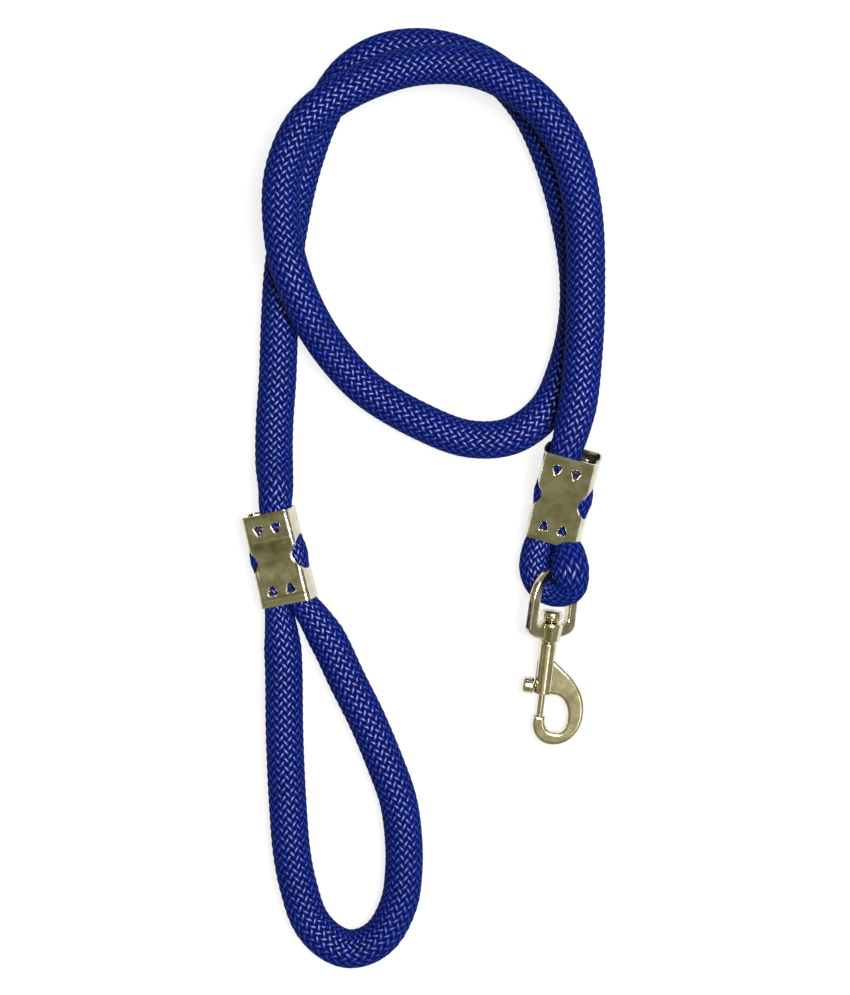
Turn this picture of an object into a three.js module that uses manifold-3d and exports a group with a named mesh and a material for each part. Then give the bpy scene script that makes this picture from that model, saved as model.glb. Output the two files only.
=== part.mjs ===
// Braided lead rope: a hand loop at one end, a swivel bolt snap at the other, each held by a
// folded sheet-metal ferrule. The lead lies on a level surface, seen from above along -Z.
// Millimetres, +Z up, surface at z = 0.
import * as THREE from 'three';
import { mergeVertices } from 'three/addons/utils/BufferGeometryUtils.js';
import Module from 'manifold-3d';

const wasm = await Module();
wasm.setup();

const FIT = 0.3; // gap kept between two pieces that touch
const UP = new THREE.Vector3(0, 0, 1);
const DEGREE = Math.PI / 180;

const ROPE_RADIUS = 8.75;
const ROPE_SIDES = 12;
const LAYER = 2 * ROPE_RADIUS + 2 * FIT; // height from a strand to the strand that lies on it

// Where the rope bends tightly through the snap's eye it is drawn down to this radius.
const BEND_RADIUS = 6;

const FERRULE_LENGTH = 42.5;
const FERRULE_THICKNESS = 16;
const FERRULE_WIDTH = 25.6; // across the bulged sides
const FERRULE_FLAT = 19.6; // across the flat front and back
const FERRULE_SHEET = 1.1;
const TAIL_RECESS = 6; // how far a cut rope end stops short of the ferrule's mouth

// Each ferrule: its middle, then how far it leans to the right in plan, how far its upper end
// is raised, and how far its right side is raised, in degrees.
const HANDLE_FERRULE = { place: [-65, -27, 12.2], lean: -12.8, pitch: 6, roll: 12 };
const SNAP_FERRULE = { place: [64.6, 1.1, 17.8], lean: 11.4, pitch: 24, roll: 12 };

// The snap's frame has its origin where the eye's collar meets the barrel, +Y towards the eye.
const SNAP = { place: [58.6, -66, 9.45], lean: 6.5, pitch: 7.6, roll: 0 };
const EYE_TURN = 40; // degrees from the hook's plane to the eye's plane, left side up

const BARREL_RADIUS = 4.1;
const BARREL_BOTTOM = -24.6;
const BORE_RADIUS = 2.1;
const BORE_TOP = -4.3;
const BOLT_RADIUS = 1.75;
const BOLT_TOP = -17;
const BOLT_TIP = -34.7;
const BOLT_TRAVEL = 10.5;
const KNOB_AT = -21.6; // the thumb knob's height on the snap's axis when the hook is closed
const KNOB_NECK = 1.4; // radius
const HOOK_THICKNESS = 5.6;
const HOOK_TIP = BOLT_TIP - FIT;
const HOOK_SEAT = -42; // the flat land in the bottom of the hook, where a ring hangs
const POST_RADIUS = 2.6;
const POST_DEPTH = 3;
const COLLAR_HEIGHT = 9;
const EYE_THICKNESS = 3.8;

const ROPE_BLUE = { color: 0x15238c, roughness: 0.62, metalness: 0 };
const FERRULE_STEEL = { color: 0xb9b79c, roughness: 0.24, metalness: 1 };
const SNAP_NICKEL = { color: 0xc9bf95, roughness: 0.17, metalness: 1 };
const SPRING_STEEL = { color: 0x8d8f92, roughness: 0.3, metalness: 1 };

// ---- Solids ----

function toSolid(geometry) {
  const bare = geometry.clone();
  bare.deleteAttribute('normal');
  bare.deleteAttribute('uv');
  const merged = mergeVertices(bare, 1e-4);
  const mesh = new wasm.Mesh({
    numProp: 3,
    vertProperties: new Float32Array(merged.attributes.position.array),
    triVerts: new Uint32Array(merged.index.array),
  });
  return new wasm.Manifold(mesh);
}

function toGeometry(solid) {
  const mesh = solid.getMesh();
  const geometry = new THREE.BufferGeometry();
  geometry.setAttribute('position', new THREE.BufferAttribute(mesh.vertProperties, 3));
  geometry.setIndex(new THREE.BufferAttribute(mesh.triVerts, 1));
  geometry.computeVertexNormals();
  return geometry;
}

function cut(geometry, ...cutters) {
  const left = cutters.reduce((solid, cutter) => solid.subtract(toSolid(cutter)), toSolid(geometry));
  return toGeometry(left);
}

function join(geometry, ...others) {
  return toGeometry(others.reduce((solid, other) => solid.add(toSolid(other)), toSolid(geometry)));
}

function piece(name, geometry, look) {
  const mesh = new THREE.Mesh(geometry, new THREE.MeshStandardMaterial(look));
  mesh.name = name;
  return mesh;
}

// A shape drawn in x and z, run along y from `from` to `to`.
function runAlongY(shape, from, to, curveSegments = 6) {
  const settings = { depth: to - from, bevelEnabled: false, curveSegments };
  return new THREE.ExtrudeGeometry(shape, settings).rotateX(Math.PI / 2).translate(0, to, 0);
}

// A solid turned about the y axis, from [radius, y] pairs.
function turned(profile, segments = 24) {
  return new THREE.LatheGeometry(profile.map(([radius, y]) => new THREE.Vector2(radius, y)), segments);
}

// The room inside a round bore along the y axis.
function bore(radius, from, to) {
  return turned([[0, from], [radius, from], [radius, to], [0, to]]);
}

// A group at `place`, leant, pitched and rolled as on a ferrule.
function frameOf({ place, lean, pitch, roll }) {
  const frame = new THREE.Group();
  frame.position.set(...place);
  frame.rotation.set(pitch * DEGREE, -roll * DEGREE, -lean * DEGREE, 'ZXY');
  frame.updateMatrixWorld();
  return frame;
}

function pointIn(frame, x, y, z) {
  return new THREE.Vector3(x, y, z).applyMatrix4(frame.matrixWorld);
}

// ---- Rope ----

// A rope's centre line whose section keeps one side up. `size` gives the section's half width and
// half height at a distance from the start and from the end.
class RopePath extends THREE.CatmullRomCurve3 {
  constructor(points, size) {
    super(points, false, 'centripetal');
    this.size = size;
  }

  computeFrenetFrames(steps) {
    const length = this.getLength();
    const frames = { tangents: [], normals: [], binormals: [] };
    for (let i = 0; i <= steps; i++) {
      const along = (i / steps) * length;
      const tangent = this.getTangentAt(i / steps);
      const [halfWidth, halfHeight] = this.size(along, length - along);
      const side = new THREE.Vector3().crossVectors(UP, tangent).normalize();
      const top = new THREE.Vector3().crossVectors(tangent, side);
      frames.tangents.push(tangent);
      frames.normals.push(side.multiplyScalar(halfWidth));
      frames.binormals.push(top.multiplyScalar(halfHeight));
    }
    return frames;
  }
}

// A polygon around the unit circle, flat at the top and bottom.
function ropeSection() {
  const corner = 1 / Math.cos(Math.PI / ROPE_SIDES);
  const points = Array.from({ length: ROPE_SIDES }, (_, i) => {
    const turn = ((i + 0.5) / ROPE_SIDES) * 2 * Math.PI;
    return new THREE.Vector2(corner * Math.cos(turn), corner * Math.sin(turn));
  });
  return new THREE.Shape(points);
}

function ropeTube(points, steps, size) {
  const extrudePath = new RopePath(points, size);
  return new THREE.ExtrudeGeometry(ropeSection(), { steps, extrudePath });
}

// Sizes that grow from `from` at a mouth to `to`, over `reach` of rope.
function grow(from, to, distance, reach) {
  const share = THREE.MathUtils.smoothstep(distance, 0, reach);
  return from.map((value, i) => THREE.MathUtils.lerp(value, to[i], share));
}

// The room that a ferrule takes, with the gap that the rope outside keeps to it.
function mouthTrim(frame) {
  const margin = 4;
  const room = new THREE.BoxGeometry(
    FERRULE_WIDTH + margin,
    FERRULE_LENGTH + 2 * FIT,
    FERRULE_THICKNESS + margin,
  );
  return room.applyMatrix4(frame.matrixWorld);
}

const FULL = [ROPE_RADIUS, ROPE_RADIUS];
const PINCHED = [5.3, 6.5]; // half width and half height of one of two strands in a mouth
const LONE = [7.6, 6.6]; // the same for the strand beside a recessed tail

const handleFrame = frameOf(HANDLE_FERRULE);
const snapFerruleFrame = frameOf(SNAP_FERRULE);
const MOUTH = FERRULE_LENGTH / 2;
const STRAND_AT = 5.8; // sideways from the ferrule's middle to each of two strands
const LONE_AT = 3.6;
const OVERRUN = 4; // how far a rope's tube starts inside a mouth before it is trimmed

// Down the right leg of the hand loop, round its end and up the left leg.
const HAND_LOOP = [
  [-48.5, -56, 10.2], [-42, -67, 9], [-34, -84, 8.75], [-25, -102, 8.75], [-17, -121, 8.75],
  [-10.5, -139.5, 8.75], [-8, -158, 8.75], [-8, -172, 8.75], [-10, -186, 8.75], [-17, -200, 8.75],
  [-25, -206, 8.75], [-34, -207.5, 8.75], [-43, -203.5, 8.75], [-51, -194.5, 8.75],
  [-56.5, -178.5, 8.75], [-59.5, -163, 8.75], [-61.5, -138, 8.75], [-62.8, -108, 8.75],
  [-63.2, -78, 8.75], [-64.2, -62, 8.75],
];

// From the handle ferrule up the left side, once round the coil on the surface, over itself and
// round again as the upper strand, then down the right side to the snap ferrule.
const COIL = [
  [-66.3, 4, 14.6], [-67.4, 17, 10.8], [-67.4, 33, 9], [-66, 55, 8.75], [-65, 82, 8.75],
  [-63.5, 105, 8.75], [-59.5, 131, 8.75], [-54, 154, 8.75], [-44.5, 179, 8.75], [-33, 195.5, 8.75],
  [-18, 204.5, 8.75], [0, 207, 8.75], [18, 203.5, 8.75], [35.5, 194.5, 8.75], [50, 178, 8.75],
  [60, 156.5, 8.75], [68, 129, 8.75], [72.2, 102, 8.75], [71.5, 80, 8.75], [66.5, 58.5, 8.75],
  [58, 40.5, 8.75], [42, 28.5, 8.75], [22, 27, 8.75], [-1, 35.5, 8.75], [-25, 50, 9.2],
  [-39, 64.5, 13.5], [-50, 81, 20.8], [-58, 100, 26.4], [-62, 118, LAYER + 8.75],
  [-61.8, 145, LAYER + 8.75], [-52, 168, LAYER + 8.75], [-34, 182.5, 26.2], [-3, 194, 24.8],
  [26, 192.5, 26], [50, 179, LAYER + 8.75], [65, 158.5, LAYER + 8.75], [72.5, 130, LAYER + 8.75],
  [74, 90, LAYER + 8.75], [72.5, 60, LAYER + 8.75], [70, 40, 27.6],
];

// Down the left leg of the short loop, round through the snap's eye and up the right leg.
const EYE_LOOP = [
  [52.9, -25, 8.2], [52, -33, 9.2], [54.8, -40.4, 10.3], [62, -44, 12.9], [69, -41.8, 17],
  [70.4, -33.5, 19.8], [68.8, -26.2, 16.4],
];

// Two points that carry a rope straight into a mouth: at the mouth (end 1 is the upper one) and
// just inside it.
function mouthPoints(frame, x, end) {
  return [MOUTH, MOUTH - OVERRUN].map((y) => pointIn(frame, x, end * y, 0));
}

function routeOf(points) {
  return points.map((point) => new THREE.Vector3(...point));
}

function handLoop() {
  const start = mouthPoints(handleFrame, STRAND_AT, -1).reverse();
  const end = mouthPoints(handleFrame, -STRAND_AT, -1);
  const size = (fromStart, fromEnd) => grow(PINCHED, FULL, Math.min(fromStart, fromEnd) - OVERRUN, 20);
  const tube = ropeTube([...start, ...routeOf(HAND_LOOP), ...end], 34, size);
  return cut(tube, mouthTrim(handleFrame));
}

function coil() {
  const start = mouthPoints(handleFrame, LONE_AT, 1).reverse();
  const end = mouthPoints(snapFerruleFrame, -LONE_AT, 1);
  const size = (fromStart, fromEnd) => grow(LONE, FULL, Math.min(fromStart, fromEnd) - OVERRUN, 16);
  const tube = ropeTube([...start, ...routeOf(COIL), ...end], 68, size);
  return cut(tube, mouthTrim(handleFrame), mouthTrim(snapFerruleFrame));
}

function eyeLoop() {
  const start = mouthPoints(snapFerruleFrame, -STRAND_AT, -1).reverse();
  const end = mouthPoints(snapFerruleFrame, STRAND_AT, -1);
  const bend = [BEND_RADIUS, BEND_RADIUS];
  const size = (fromStart, fromEnd) => grow(PINCHED, bend, Math.min(fromStart, fromEnd) - OVERRUN, 10);
  const tube = ropeTube([...start, ...routeOf(EYE_LOOP), ...end], 22, size);
  return cut(tube, mouthTrim(snapFerruleFrame));
}

// ---- Ferrules ----

// Half of the ferrule's outline, from its middle at the back round one side to the front, drawn
// inside the outer surface by `inset` and starting `middle` away from the centre.
function halfOutline(shape, side, inset, middle) {
  const flat = side * (FERRULE_FLAT / 2 - inset * 0.4);
  const shoulder = flat + side * 1.9;
  const width = side * (FERRULE_WIDTH / 2 - inset);
  const height = side * (FERRULE_THICKNESS / 2 - inset);
  shape.lineTo(side * middle, -height);
  shape.lineTo(flat, -height);
  shape.bezierCurveTo(shoulder, -height, width, -height * 0.7, width, 0);
  shape.bezierCurveTo(width, height * 0.7, shoulder, height, flat, height);
  shape.lineTo(side * middle, height);
}

function ferruleOutline(inset) {
  const height = FERRULE_THICKNESS / 2 - inset;
  const shape = new THREE.Shape();
  shape.moveTo(0, -height);
  halfOutline(shape, 1, inset, 0.1);
  halfOutline(shape, -1, inset, 0.1);
  shape.closePath();
  return shape;
}

const TOOTH_WIDTH = 4.6;
const TOOTH_LENGTH = 5;
const TOOTH_SIDE = 4.4; // from the ferrule's centre line to each tooth
const TOOTH_FROM_MOUTH = 7;
const TOOTH_DEPTH = 2.4; // from the outer face to the tip of the punched rim
const TOOTH_RIM = 0.55; // the rim's thickness round the hole

// Where each punched tooth is: x, y, and whether its point looks down the ferrule.
const TEETH = [-1, 1].flatMap((side) => [-1, 1].map((end) => ({
  x: side * TOOTH_SIDE,
  y: end * (MOUTH - TOOTH_FROM_MOUTH),
  point: -end,
})));

// A triangular plug through the front (face 1) or back (face -1), wider than the tooth by `wider`.
function toothPlug({ x, y, point }, face, wider, reach) {
  const half = TOOTH_WIDTH / 2 + wider;
  const back = -point * (TOOTH_LENGTH * 0.42 + wider * 0.8);
  const tip = point * (TOOTH_LENGTH * 0.58 + wider * 1.4);
  const triangle = new THREE.Shape([
    new THREE.Vector2(x - half, y + back),
    new THREE.Vector2(x + half, y + back),
    new THREE.Vector2(x, y + tip),
  ]);
  const plug = new THREE.ExtrudeGeometry(triangle, { depth: reach, bevelEnabled: false });
  const outer = FERRULE_THICKNESS / 2;
  return plug.translate(0, 0, face > 0 ? outer - TOOTH_DEPTH : TOOTH_DEPTH - outer - reach);
}

// A window round one long side, where the rope shows between the front and the back.
function sideWindow(side) {
  const window = new THREE.SphereGeometry(1, 24, 16).scale(10.7, 7.9, 11);
  return window.translate(side * 16, 0, 0);
}

function ferruleShell() {
  const outside = runAlongY(ferruleOutline(0), -MOUTH, MOUTH);
  const inside = runAlongY(ferruleOutline(FERRULE_SHEET), -MOUTH - 1, MOUTH + 1);
  const seam = new THREE.BoxGeometry(0.5, FERRULE_LENGTH + 2, 2 * FERRULE_SHEET);
  seam.translate(0, 0, -FERRULE_THICKNESS / 2);
  const onBothFaces = (wider, reach) => [1, -1].flatMap(
    (face) => TEETH.map((tooth) => toothPlug(tooth, face, wider, reach)),
  );
  const rims = onBothFaces(TOOTH_RIM, TOOTH_DEPTH - 0.5);
  const holes = onBothFaces(0, TOOTH_DEPTH + 1);
  const tube = cut(outside, inside, seam, sideWindow(1), sideWindow(-1));
  return cut(join(tube, ...rims), ...holes);
}

// One of the two strands pressed into a ferrule, with the teeth biting into it.
function crimpedStrand(side, from, to) {
  const inset = FERRULE_SHEET + 1.4 * FIT;
  const middle = FIT / 2;
  const height = FERRULE_THICKNESS / 2 - inset;
  const shape = new THREE.Shape();
  shape.moveTo(side * middle, -side * height);
  halfOutline(shape, side, inset, middle);
  shape.closePath();
  const bites = [1, -1].flatMap((face) => TEETH.map((tooth) => {
    const bite = toothPlug(tooth, face, TOOTH_RIM + FIT, TOOTH_DEPTH + 1);
    return bite.translate(0, 0, -face * FIT);
  }));
  return cut(runAlongY(shape, from, to, 4), ...bites);
}

function ferruleGroup(frame, prefix, mainSide) {
  const names = { main: `${prefix}_crimp_main_strand`, tail: `${prefix}_crimp_tail_strand` };
  frame.add(piece(`${prefix}_ferrule`, ferruleShell(), FERRULE_STEEL));
  frame.add(piece(names.main, crimpedStrand(mainSide, -MOUTH, MOUTH), ROPE_BLUE));
  frame.add(piece(names.tail, crimpedStrand(-mainSide, -MOUTH, MOUTH - TAIL_RECESS), ROPE_BLUE));
  return frame;
}

// ---- Bolt snap ----

// The eye's frame: an open loop of flat-sided metal rising from a collar round the swivel post.
function swivelEye() {
  const outer = new THREE.Shape();
  outer.moveTo(0, 1.2);
  outer.lineTo(4.2, 1.2);
  outer.bezierCurveTo(8, 2.2, 14.6, 2.2, 14.6, 7.5);
  outer.lineTo(14.4, 19);
  outer.bezierCurveTo(14, 29, 8, 35.6, 0, 35.6);
  outer.bezierCurveTo(-8, 35.6, -14, 29, -14.4, 19);
  outer.lineTo(-14.6, 7.5);
  outer.bezierCurveTo(-14.6, 2.2, -8, 2.2, -4.2, 1.2);
  const inner = new THREE.Path();
  inner.moveTo(0, COLLAR_HEIGHT - 1);
  inner.lineTo(-7.4, COLLAR_HEIGHT - 1);
  inner.bezierCurveTo(-8.8, 8, -9.7, 9, -9.7, 10.5);
  inner.lineTo(-9.6, 19);
  inner.bezierCurveTo(-9.4, 27, -5.4, 31.4, 0, 31.4);
  inner.bezierCurveTo(5.4, 31.4, 9.4, 27, 9.6, 19);
  inner.lineTo(9.7, 10.5);
  inner.bezierCurveTo(9.7, 9, 8.8, 8, 7.4, COLLAR_HEIGHT - 1);
  outer.holes.push(inner);
  const bevel = 0.8;
  const loop = new THREE.ExtrudeGeometry(outer, {
    depth: EYE_THICKNESS - 2 * bevel,
    bevelThickness: bevel,
    bevelSize: bevel,
    bevelOffset: -bevel,
    bevelSegments: 2,
    curveSegments: 7,
  });
  loop.translate(0, 0, bevel - EYE_THICKNESS / 2);
  const collar = turned([
    [0, 0], [4.5, 0], [4.9, 0.5], [5.8, COLLAR_HEIGHT - 1.2], [5.5, COLLAR_HEIGHT],
    [0, COLLAR_HEIGHT],
  ]);
  return cut(join(loop, collar), bore(POST_RADIUS + FIT, -1, COLLAR_HEIGHT + 1));
}

// The post that the eye turns on, headed over at the top and set into the barrel.
function swivelPost() {
  const head = COLLAR_HEIGHT + FIT;
  return turned([
    [0, -POST_DEPTH - FIT], [POST_RADIUS, -POST_DEPTH - FIT], [POST_RADIUS, head], [3.6, head],
    [3.9, head + 1.2], [4.9, head + 2], [4.9, head + 4], [4.4, head + 5], [0, head + 5.6],
  ]);
}

function barrel() {
  return turned([
    [0, BARREL_BOTTOM], [BARREL_RADIUS - 0.4, BARREL_BOTTOM], [BARREL_RADIUS, BARREL_BOTTOM + 0.4],
    [BARREL_RADIUS, -1.2], [BARREL_RADIUS - 0.5, -FIT], [0, -FIT],
  ], 32);
}

// The curved hook, from the web beside the barrel round to the tip that the bolt meets.
function hookBlade() {
  const outline = new THREE.Shape();
  outline.moveTo(0, -8);
  outline.lineTo(3.6, -8);
  outline.bezierCurveTo(7, -12, 19, -17, 20, -30.5);
  outline.bezierCurveTo(20.8, -41, 14.5, -48.2, 6.5, -48.2);
  outline.bezierCurveTo(0.3, -48.2, -2.9, -43, -2.9, -38);
  outline.lineTo(-2.6, HOOK_TIP);
  outline.lineTo(2.6, HOOK_TIP);
  outline.bezierCurveTo(2.4, -39.3, 4.4, HOOK_SEAT, 6.6, HOOK_SEAT);
  outline.lineTo(9.2, HOOK_SEAT);
  outline.bezierCurveTo(11.6, HOOK_SEAT, 12.9, -38.8, 12.9, -34.8);
  outline.bezierCurveTo(12.9, -29, 10, BARREL_BOTTOM, 5.5, BARREL_BOTTOM);
  outline.lineTo(0, BARREL_BOTTOM);
  outline.closePath();
  const bevel = 1.3;
  const blade = new THREE.ExtrudeGeometry(outline, {
    depth: HOOK_THICKNESS - 2 * bevel,
    bevelThickness: bevel,
    bevelSize: bevel,
    bevelOffset: -bevel,
    bevelSegments: 3,
    curveSegments: 10,
  });
  return blade.translate(0, 0, bevel - HOOK_THICKNESS / 2);
}

// The slot in the barrel's left side that the thumb knob's neck slides in.
function knobSlot() {
  const half = KNOB_NECK + FIT;
  const top = KNOB_AT + BOLT_TRAVEL + half;
  const bottom = KNOB_AT - half;
  return new THREE.BoxGeometry(BARREL_RADIUS + 1, top - bottom, 2 * half)
    .translate(-(BARREL_RADIUS + 1) / 2, (top + bottom) / 2, 0);
}

function snapBody() {
  const boltBore = bore(BORE_RADIUS, BARREL_BOTTOM - 1, BORE_TOP);
  const postSocket = bore(POST_RADIUS + FIT, -POST_DEPTH - 2 * FIT, 1);
  return cut(join(barrel(), hookBlade()), boltBore, postSocket, knobSlot());
}

function bolt() {
  return turned([
    [0, BOLT_TIP], [BOLT_RADIUS - 0.3, BOLT_TIP], [BOLT_RADIUS, BOLT_TIP + 0.3],
    [BOLT_RADIUS, BOLT_TOP - 0.3], [BOLT_RADIUS - 0.3, BOLT_TOP], [0, BOLT_TOP],
  ], 16);
}

// The knob stands on the barrel's left side: a neck in the slot and a stout round head.
function thumbKnob() {
  const neckStart = BOLT_RADIUS + FIT;
  const knob = turned([
    [0, neckStart], [KNOB_NECK, neckStart], [KNOB_NECK, 4.4], [3.7, 4.4], [3.9, 4.7],
    [4, 8.9], [3.8, 9.3], [3.2, 9.6], [0, 9.7],
  ]);
  return knob.rotateZ(Math.PI / 2).translate(0, KNOB_AT, 0);
}

// A helix for the bolt's return spring, in the bore above the bolt.
class Helix extends THREE.Curve {
  constructor(radius, from, to, turns) {
    super();
    Object.assign(this, { radius, from, to, turns });
  }

  getPoint(t, target = new THREE.Vector3()) {
    const turn = 2 * Math.PI * this.turns * t;
    const y = THREE.MathUtils.lerp(this.from, this.to, t);
    return target.set(this.radius * Math.cos(turn), y, this.radius * Math.sin(turn));
  }
}

function boltSpring() {
  const wire = 0.22;
  const end = FIT + wire;
  const extrudePath = new Helix(1.4, BOLT_TOP + end, BORE_TOP - end, 4.5);
  const section = new THREE.Shape().absarc(0, 0, wire, 0, 2 * Math.PI);
  return new THREE.ExtrudeGeometry(section, { steps: 54, curveSegments: 3, extrudePath });
}

function snapGroup() {
  const frame = frameOf(SNAP);
  const eye = piece('swivel_eye', swivelEye(), SNAP_NICKEL);
  eye.rotation.y = EYE_TURN * DEGREE;
  frame.add(eye);
  frame.add(piece('swivel_post', swivelPost(), SNAP_NICKEL));
  frame.add(piece('snap_body', snapBody(), SNAP_NICKEL));
  frame.add(piece('snap_bolt', bolt(), SNAP_NICKEL));
  frame.add(piece('thumb_knob', thumbKnob(), SNAP_NICKEL));
  frame.add(piece('bolt_spring', boltSpring(), SPRING_STEEL));
  return frame;
}

// ---- The lead ----

const lead = new THREE.Group();
lead.add(piece('rope_hand_loop', handLoop(), ROPE_BLUE));
lead.add(piece('rope_coil', coil(), ROPE_BLUE));
lead.add(piece('rope_eye_loop', eyeLoop(), ROPE_BLUE));
lead.add(ferruleGroup(handleFrame, 'handle', 1));
lead.add(ferruleGroup(snapFerruleFrame, 'snap', -1));
lead.add(snapGroup());

export default lead;
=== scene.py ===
"""Looks of a short braided lead rope, lying on a pale floor and seen straight from above.

One blue rope runs from a recessed end in the handle ferrule, round the hand loop, back through
that ferrule, once and a half round the coil, into the snap ferrule, round the eye of the bolt
snap and back up to its other recessed end. Metres, +Z up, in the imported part's own frame.
"""

import math

import bmesh
import bpy
import numpy as np
from mathutils import Matrix, Vector


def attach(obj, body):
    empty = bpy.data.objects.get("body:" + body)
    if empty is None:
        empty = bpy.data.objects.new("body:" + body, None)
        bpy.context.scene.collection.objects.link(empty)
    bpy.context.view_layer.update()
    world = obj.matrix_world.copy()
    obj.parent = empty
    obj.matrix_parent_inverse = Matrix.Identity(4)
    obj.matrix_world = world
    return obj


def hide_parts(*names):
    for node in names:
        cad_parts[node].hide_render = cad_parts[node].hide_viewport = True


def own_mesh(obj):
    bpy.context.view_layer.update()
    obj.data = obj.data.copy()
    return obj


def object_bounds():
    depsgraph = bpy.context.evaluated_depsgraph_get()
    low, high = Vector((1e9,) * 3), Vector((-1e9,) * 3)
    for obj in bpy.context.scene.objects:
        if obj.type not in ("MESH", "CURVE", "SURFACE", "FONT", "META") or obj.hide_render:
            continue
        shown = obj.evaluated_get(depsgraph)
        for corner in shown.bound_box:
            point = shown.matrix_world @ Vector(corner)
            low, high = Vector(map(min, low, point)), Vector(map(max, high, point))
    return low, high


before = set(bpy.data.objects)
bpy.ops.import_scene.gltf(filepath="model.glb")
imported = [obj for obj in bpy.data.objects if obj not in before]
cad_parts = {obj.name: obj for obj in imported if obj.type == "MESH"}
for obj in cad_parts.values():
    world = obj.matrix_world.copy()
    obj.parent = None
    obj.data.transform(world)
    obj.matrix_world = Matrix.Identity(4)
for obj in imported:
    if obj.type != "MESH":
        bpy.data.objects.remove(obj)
cad_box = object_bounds()

MM = 0.001
FLOOR = cad_box[0].z

# The camera looks straight down, and VIEW_LENGTH is what fills the picture's long side at the
# height of the rope's middle.
CAMERA = Vector((0.0018, 0.0, 0.75))
VIEW_LENGTH = 0.4577

ROPE_RADIUS = 0.00875
LAYER = 2 * ROPE_RADIUS + 0.0006

# The braid: columns of slanting stitches side by side round the rope, every other one slanting
# the other way. A stitch is one strand's float over the strand that crosses it there, and each
# strand climbs half a pitch from column to column.
COLUMNS = 24
STITCH_PITCH = 0.0039
STRAND_LIFT = 0.00024
STRAND_CROWN = 0.0009
STRAND_FILL = 0.86
# The surface's grid: where its lines cross each column, and how many rings there are to a pitch.
COLUMN_STEPS = np.array([0, 0.1, 0.5, 0.9])
COLUMN_CELLS = len(COLUMN_STEPS)
PITCH_CELLS = 10
# The cut ends: how far back the rings' zigzag is levelled, over how many rings the strands are
# fused, and the dome that closes each end, as shares of its last ring with how far each bulges.
END_LEVELLED = 0.008
FUSED_RINGS = 4
END_DOME = [(0.9, 0.0007), (0.66, 0.0011), (0.34, 0.0008)]

FERRULE_LENGTH = 0.0425
FERRULE_THICKNESS = 0.016
FERRULE_WIDTH = 0.0256
FERRULE_FLAT = 0.0196
FERRULE_SHEET = 0.0009
FERRULE_SEAM = 0.0005
TAIL_RECESS = 0.006
MOUTH = FERRULE_LENGTH / 2

# Half width, half height and squareness of the rope's section, and how far its middle is pushed
# sideways off the route: free, in a ferrule beside its other strand, at the ferrule's lower mouth,
# where it bulges into a side window, and beside a recessed end.
FREE = (ROPE_RADIUS, ROPE_RADIUS, 2.0, 0)
PRESSED = (0.0057, 0.0064, 2.5, 0)
SQUEEZED = (0.006, 0.0066, 2.4, 0)
BULGED = (0.0068, 0.0066, 2.3, 0)
LONE = (0.0074, 0.0065, 2.3, 0)
# How far each of those lies from the ferrule's middle plane, how far along it the pressed ones
# are from its middle, and how long the rope takes to swell out again.
PRESSED_AT = 0.00585
BULGED_AT = 0.0069
LONE_AT = 0.0036
PRESSED_ALONG = 0.011
GROWTH = 0.02
WORLD_UP = (0.0, 0.0, 1.0)

# The rope's route in three stretches, as in the part's source.
HAND_LOOP = [
    (-0.0485, -0.056, 0.0102), (-0.042, -0.067, 0.009), (-0.034, -0.084, 0.00875),
    (-0.025, -0.102, 0.00875), (-0.017, -0.121, 0.00875), (-0.0105, -0.1395, 0.00875),
    (-0.008, -0.158, 0.00875), (-0.008, -0.172, 0.00875), (-0.01, -0.186, 0.00875),
    (-0.017, -0.2, 0.00875), (-0.025, -0.206, 0.00875), (-0.034, -0.2075, 0.00875),
    (-0.043, -0.2035, 0.00875), (-0.051, -0.1945, 0.00875), (-0.0565, -0.1785, 0.00875),
    (-0.0595, -0.163, 0.00875), (-0.0615, -0.138, 0.00875), (-0.0628, -0.108, 0.00875),
    (-0.0632, -0.078, 0.00875), (-0.0642, -0.062, 0.00875),
]
UPPER = LAYER + ROPE_RADIUS
COIL = [
    (-0.0663, 0.004, 0.0146), (-0.0674, 0.017, 0.0108), (-0.0674, 0.033, 0.009),
    (-0.066, 0.055, 0.00875), (-0.065, 0.082, 0.00875), (-0.0635, 0.105, 0.00875),
    (-0.0595, 0.131, 0.00875), (-0.054, 0.154, 0.00875), (-0.0445, 0.179, 0.00875),
    (-0.033, 0.1955, 0.00875), (-0.018, 0.2045, 0.00875), (0.0, 0.207, 0.00875),
    (0.018, 0.2035, 0.00875), (0.0355, 0.1945, 0.00875), (0.05, 0.178, 0.00875),
    (0.06, 0.1565, 0.00875), (0.068, 0.129, 0.00875), (0.0722, 0.102, 0.00875),
    (0.0715, 0.08, 0.00875), (0.0665, 0.0585, 0.00875), (0.058, 0.0405, 0.00875),
    (0.042, 0.0285, 0.00875), (0.022, 0.027, 0.00875), (-0.001, 0.0355, 0.00875),
    (-0.025, 0.05, 0.0092), (-0.039, 0.0645, 0.0135), (-0.05, 0.081, 0.0208),
    (-0.058, 0.1, 0.0264), (-0.062, 0.118, UPPER), (-0.0618, 0.145, UPPER),
    (-0.052, 0.168, UPPER), (-0.034, 0.1825, 0.0262), (-0.003, 0.194, 0.0248),
    (0.026, 0.1925, 0.026), (0.05, 0.179, UPPER), (0.065, 0.1585, UPPER),
    (0.0725, 0.13, UPPER), (0.074, 0.09, UPPER), (0.0725, 0.06, UPPER), (0.07, 0.04, 0.0276),
]
EYE_LOOP = [
    (0.0529, -0.025, 0.0082), (0.052, -0.033, 0.0092), (0.0548, -0.0404, 0.0103),
    (0.062, -0.044, 0.0129), (0.069, -0.0418, 0.017), (0.0704, -0.0335, 0.0198),
    (0.0688, -0.0262, 0.0164),
]
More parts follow.
